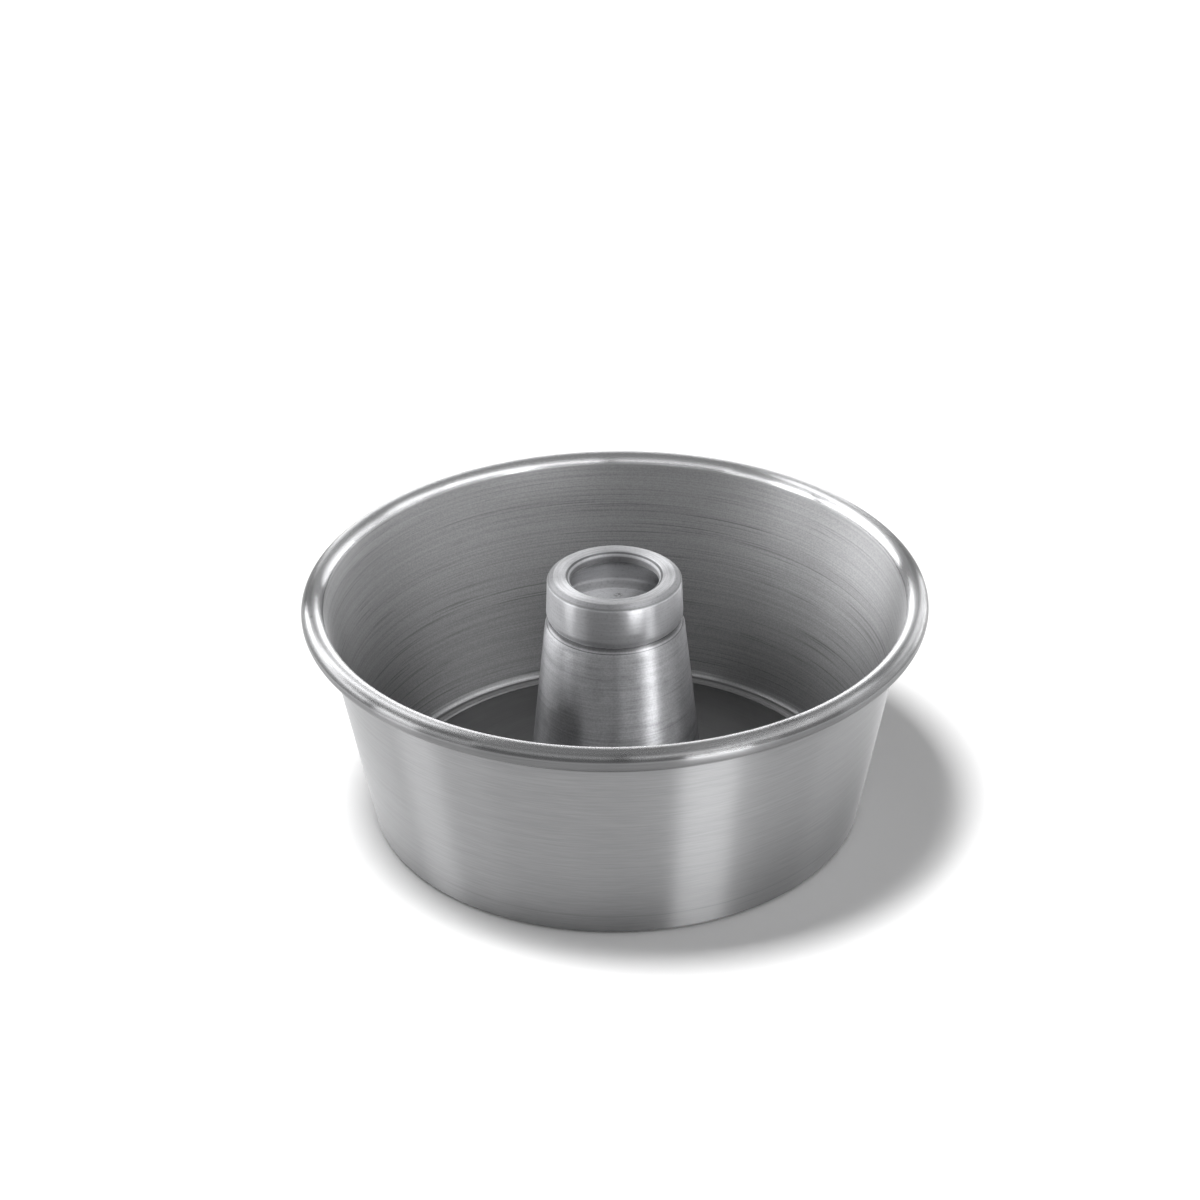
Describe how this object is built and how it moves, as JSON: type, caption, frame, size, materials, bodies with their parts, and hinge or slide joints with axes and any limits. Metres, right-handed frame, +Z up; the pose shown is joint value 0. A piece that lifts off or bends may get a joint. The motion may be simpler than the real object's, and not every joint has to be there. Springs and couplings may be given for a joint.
{
  "type": "angel food cake pan",
  "caption": "Round aluminium tube pan with a flared wall, a rolled rim and a lift-out floor carrying a tapered centre tube with a curled cup on top.",
  "frame": {"origin": "centre of the base, on the plane that the pan stands on", "axes": "+Z up along the axis of the pan and its tube; X and Y are any two level directions, because the pan is round"},
  "size_m": [0.274, 0.274, 0.1135],
  "materials": {
    "spun_body": "spun satin with fine turning lines",
    "rolled_plate": "smooth rolled sheet",
    "drawn_tube": "drawn satin with fine turning lines",
    "turned_cup": "brushed satin, bright on the top ring"
  },
  "bodies": {
    "body_ring": {"pan_body": "spun_body"},
    "insert": {"base_plate": "rolled_plate", "center_tube": "drawn_tube", "tube_cup": "turned_cup"}
  },
  "joints": [
    {"name": "insert_lift", "type": "slide", "parent": "body_ring", "child": "insert", "axis": [0, 0, 1], "range_m": [0, 0.125]}
  ]
}
